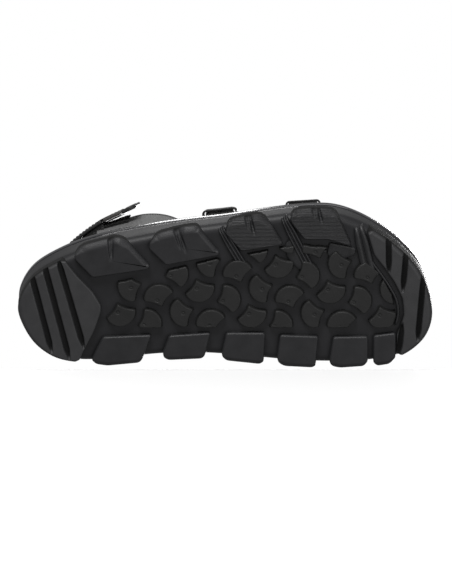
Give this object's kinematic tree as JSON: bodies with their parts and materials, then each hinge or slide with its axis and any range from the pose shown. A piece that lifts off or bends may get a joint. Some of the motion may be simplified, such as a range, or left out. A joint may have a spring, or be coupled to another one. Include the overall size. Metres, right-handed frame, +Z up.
{
  "type": "sport sandal",
  "caption": "Open sport sandal for the right foot: lugged rubber cup sole, contoured footbed, two buckled straps and a hook-and-loop heel strap.",
  "frame": {"origin": "centre of the sole's plan box on the ground, under the lug faces", "axes": "+Z up from the ground, +Y towards the heel, -Y towards the toe, +X towards the medial side of the right foot"},
  "size_m": [0.1148, 0.2842, 0.0862],
  "materials": {
    "sole_rubber": "matte moulded rubber with a faint grain",
    "midsole_foam": "matte moulded foam",
    "suede": "short-napped suede",
    "strap": "matte coated leather, stitched edges",
    "quarter": "grained coated leather",
    "lining": "soft brushed lining",
    "pile": "hook and loop pile",
    "grip": "smooth grey-brown leather",
    "nylon": "matte moulded nylon",
    "buckle_metal": "satin black coated metal"
  },
  "bodies": {
    "sandal": {"outsole": "sole_rubber", "midsole": "midsole_foam", "shank": "nylon", "footbed_cover": "suede", "toe_tab": "strap", "toe_tab_lining": "lining", "toe_strap": "strap", "toe_strap_lining": "lining", "toe_keeper": "nylon", "instep_tab": "strap", "instep_tab_lining": "lining", "instep_strap": "strap", "instep_strap_lining": "lining", "instep_keeper": "nylon", "lateral_quarter": "quarter", "medial_quarter": "quarter", "loop_pile": "pile", "heel_strap": "strap", "heel_pad": "lining"},
    "flap": {"heel_flap": "strap", "flap_grip": "grip", "hook_pile": "pile"},
    "toe_buckle": {"toe_buckle_frame": "buckle_metal"},
    "toe_prong": {"toe_buckle_prong": "buckle_metal"},
    "instep_buckle": {"instep_buckle_frame": "buckle_metal"},
    "instep_prong": {"instep_buckle_prong": "buckle_metal"}
  },
  "joints": [
    {"name": "flap_peel", "type": "hinge", "parent": "sandal", "child": "flap", "pos_m": [-0.02849, 0.08413, 0.07065], "axis": [-0.2204, 0.1554, -0.963], "range_deg": [-6, 88]},
    {"name": "toe_buckle_lift", "type": "hinge", "parent": "sandal", "child": "toe_buckle", "pos_m": [-0.04112, -0.05386, 0.05037], "axis": [-0.0293, -0.9993, 0.0241], "range_deg": [0, 30]},
    {"name": "toe_prong_lift", "type": "hinge", "parent": "toe_buckle", "child": "toe_prong", "pos_m": [-0.04112, -0.05386, 0.05037], "axis": [-0.0293, -0.9993, 0.0241], "range_deg": [0, 55]},
    {"name": "instep_buckle_lift", "type": "hinge", "parent": "sandal", "child": "instep_buckle", "pos_m": [-0.03387, 0.00326, 0.05883], "axis": [-0.0679, -0.9972, 0.0318], "range_deg": [0, 30]},
    {"name": "instep_prong_lift", "type": "hinge", "parent": "instep_buckle", "child": "instep_prong", "pos_m": [-0.03387, 0.00326, 0.05883], "axis": [-0.0679, -0.9972, 0.0318], "range_deg": [0, 55]}
  ]
}
